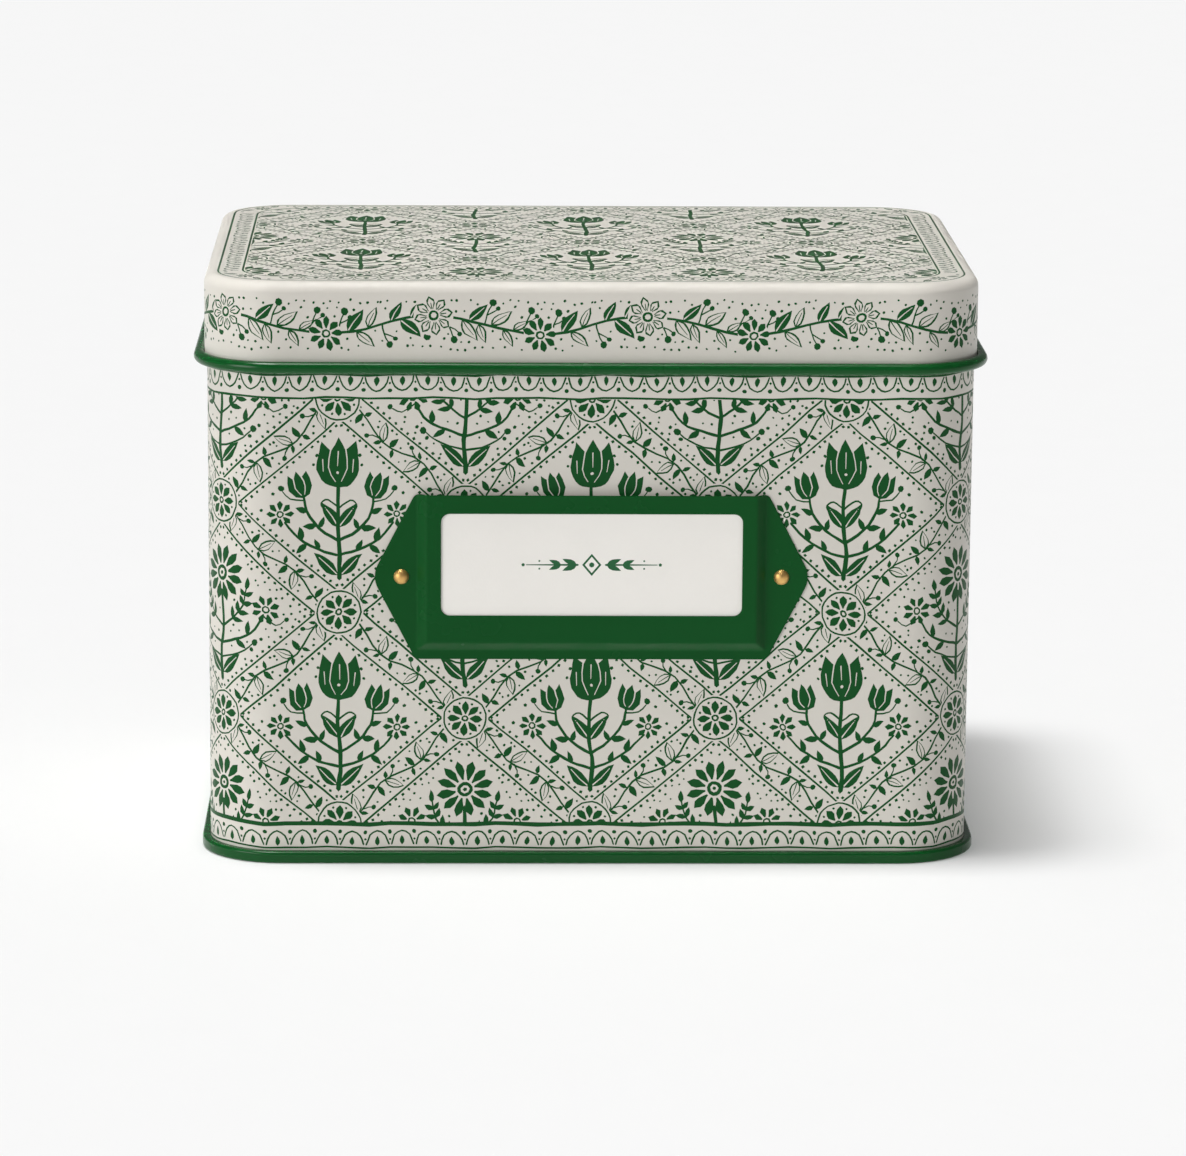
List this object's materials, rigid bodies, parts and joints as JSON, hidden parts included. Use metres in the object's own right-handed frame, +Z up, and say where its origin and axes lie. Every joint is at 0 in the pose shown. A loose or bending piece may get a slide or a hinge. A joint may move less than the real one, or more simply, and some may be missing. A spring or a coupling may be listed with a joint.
{
  "type": "recipe card box",
  "caption": "Printed tinplate recipe card box with rounded corners, a deep hinged lid and a riveted label pocket on the front.",
  "frame": {"origin": "middle of the base, on the surface that the box stands on", "axes": "+Z up, +X along the box's length, front with the label pocket towards -Y"},
  "size_m": [0.183, 0.135, 0.1357],
  "materials": {
    "printed_tinplate": "satin cream coat with green print",
    "green_enamel": "satin dark green",
    "brass": "polished",
    "hinge_steel": "plain",
    "card_stock": "matte"
  },
  "bodies": {
    "box": {"body_wall": "printed_tinplate", "base_panel": "green_enamel", "label_frame": "green_enamel", "label_card": "card_stock", "label_rivet_left": "brass", "label_rivet_right": "brass", "hinge_strap_left": "hinge_steel", "hinge_strap_right": "hinge_steel", "hinge_rivets": "hinge_steel"},
    "lid": {"lid_shell": "printed_tinplate", "hinge_wire": "hinge_steel"}
  },
  "joints": [
    {"name": "lid_hinge", "type": "hinge", "parent": "box", "child": "lid", "pos_m": [0, 0.06535, 0.11625], "axis": [-1, 0, 0], "range_deg": [0, 110]}
  ]
}
